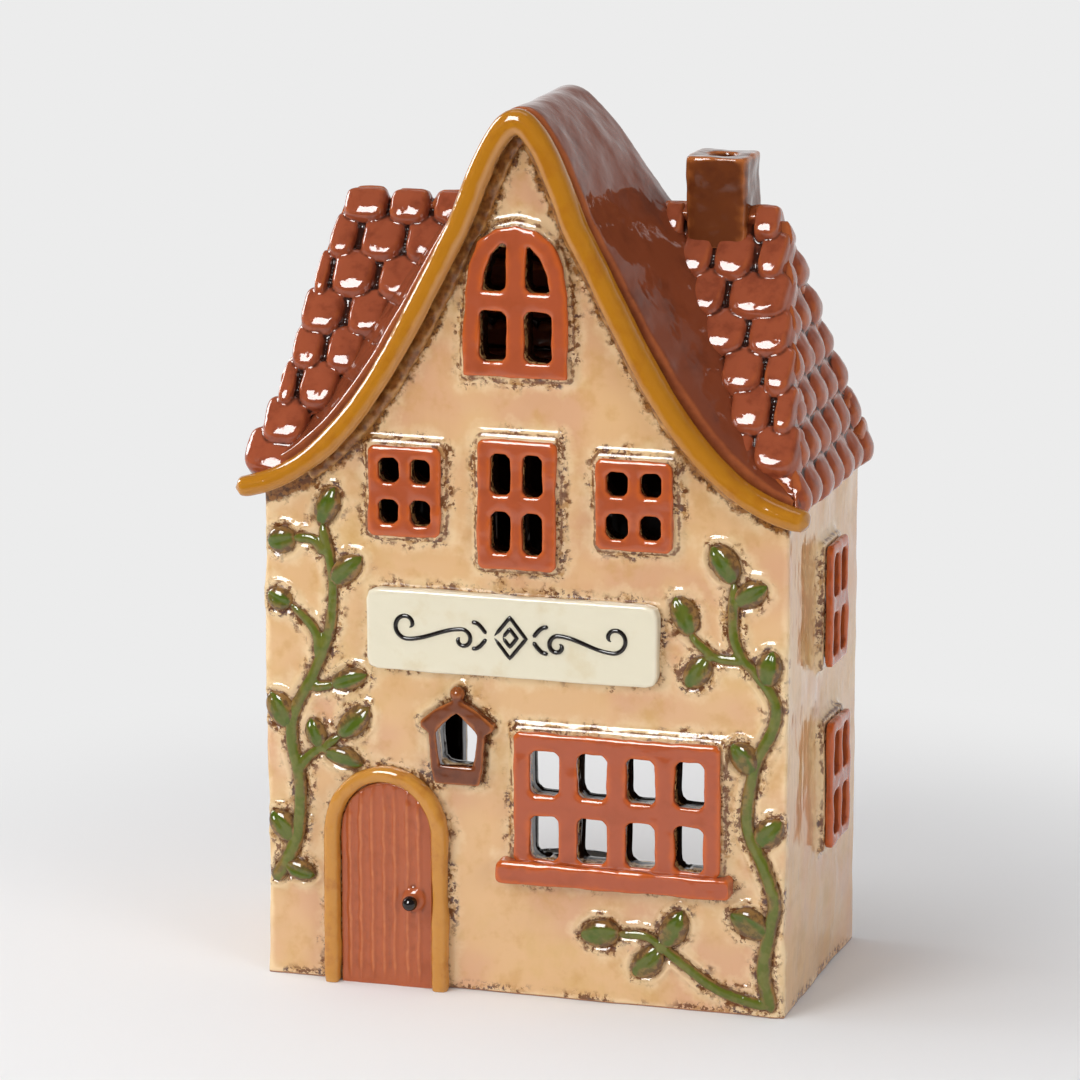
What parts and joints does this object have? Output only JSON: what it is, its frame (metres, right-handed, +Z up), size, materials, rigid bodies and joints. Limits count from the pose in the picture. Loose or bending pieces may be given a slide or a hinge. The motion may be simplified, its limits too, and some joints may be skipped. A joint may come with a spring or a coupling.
{
  "type": "tealight holder",
  "caption": "House-shaped ceramic tealight holder with a swept front gable, tiled hip roof, chimney, pierced windows, ivy sprigs, and a rear opening for a cup candle.",
  "frame": {"origin": "middle of the wall footprint, on the base face", "axes": "+X to the right seen from the front, +Y to the back, +Z up"},
  "size_m": [0.1388, 0.0787, 0.2098],
  "materials": {
    "wall_glaze": "glossy, peach to cream, speckled rust round the reliefs",
    "frame_glaze": "glossy terracotta, pooled darker at the edges",
    "tile_glaze": "glossy red-brown, dark in the joints",
    "roof_glaze": "glossy dark brown",
    "bargeboard_glaze": "glossy ochre",
    "door_glaze": "glossy brick red",
    "arch_glaze": "glossy tan",
    "knob_glaze": "glossy black",
    "sign_glaze": "glossy off-white",
    "lantern_glaze": "glossy brown",
    "leaf_glaze": "glossy green",
    "stem_glaze": "glossy olive",
    "aluminium": "thin pressed sheet",
    "wax": "paraffin wax",
    "cotton": "waxed cotton"
  },
  "bodies": {
    "root": {"floor_slab": "wall_glaze", "back_wall": "wall_glaze", "front_wall": "wall_glaze", "left_wall": "wall_glaze", "right_wall": "wall_glaze", "attic_window": "frame_glaze", "upper_left_window": "frame_glaze", "upper_middle_window": "frame_glaze", "upper_right_window": "frame_glaze", "shop_window": "frame_glaze", "right_lower_window": "frame_glaze", "right_upper_window": "frame_glaze", "left_lower_window": "frame_glaze", "left_upper_window": "frame_glaze", "shop_window_sill": "frame_glaze", "front_roof_left": "tile_glaze", "front_roof_right": "tile_glaze", "back_roof": "tile_glaze", "left_hip_roof": "tile_glaze", "right_hip_roof": "tile_glaze", "gable_roof": "roof_glaze", "rear_gable_plate": "roof_glaze", "chimney": "roof_glaze", "bargeboard": "bargeboard_glaze", "door_panel": "door_glaze", "door_arch": "arch_glaze", "door_knob": "knob_glaze", "sign_plaque": "sign_glaze", "lantern_frame": "lantern_glaze", "left_ivy_leaf_1": "leaf_glaze", "left_ivy_leaf_2": "leaf_glaze", "left_ivy_leaf_3": "leaf_glaze", "left_ivy_leaf_4": "leaf_glaze", "left_ivy_leaf_5": "leaf_glaze", "left_ivy_leaf_6": "leaf_glaze", "left_ivy_leaf_7": "leaf_glaze", "left_ivy_leaf_8": "leaf_glaze", "left_ivy_leaf_9": "leaf_glaze", "left_ivy_leaf_10": "leaf_glaze", "left_ivy_leaf_11": "leaf_glaze", "right_ivy_leaf_1": "leaf_glaze", "right_ivy_leaf_2": "leaf_glaze", "right_ivy_leaf_3": "leaf_glaze", "right_ivy_leaf_4": "leaf_glaze", "right_ivy_leaf_5": "leaf_glaze", "right_ivy_leaf_6": "leaf_glaze", "right_ivy_leaf_7": "leaf_glaze", "right_ivy_leaf_8": "leaf_glaze", "right_ivy_leaf_9": "leaf_glaze", "right_ivy_leaf_10": "leaf_glaze", "right_ivy_leaf_11": "leaf_glaze", "left_ivy_stem": "stem_glaze", "right_ivy_stem": "stem_glaze"},
    "tealight": {"tealight_cup": "aluminium", "tealight_wax": "wax", "tealight_wick_clip": "aluminium", "tealight_wick": "cotton"}
  },
  "joints": [
    {"name": "tealight_lift_out", "type": "slide", "parent": "root", "child": "tealight", "axis": [0, 0.7431, 0.6691], "range_m": [0, 0.085]}
  ]
}
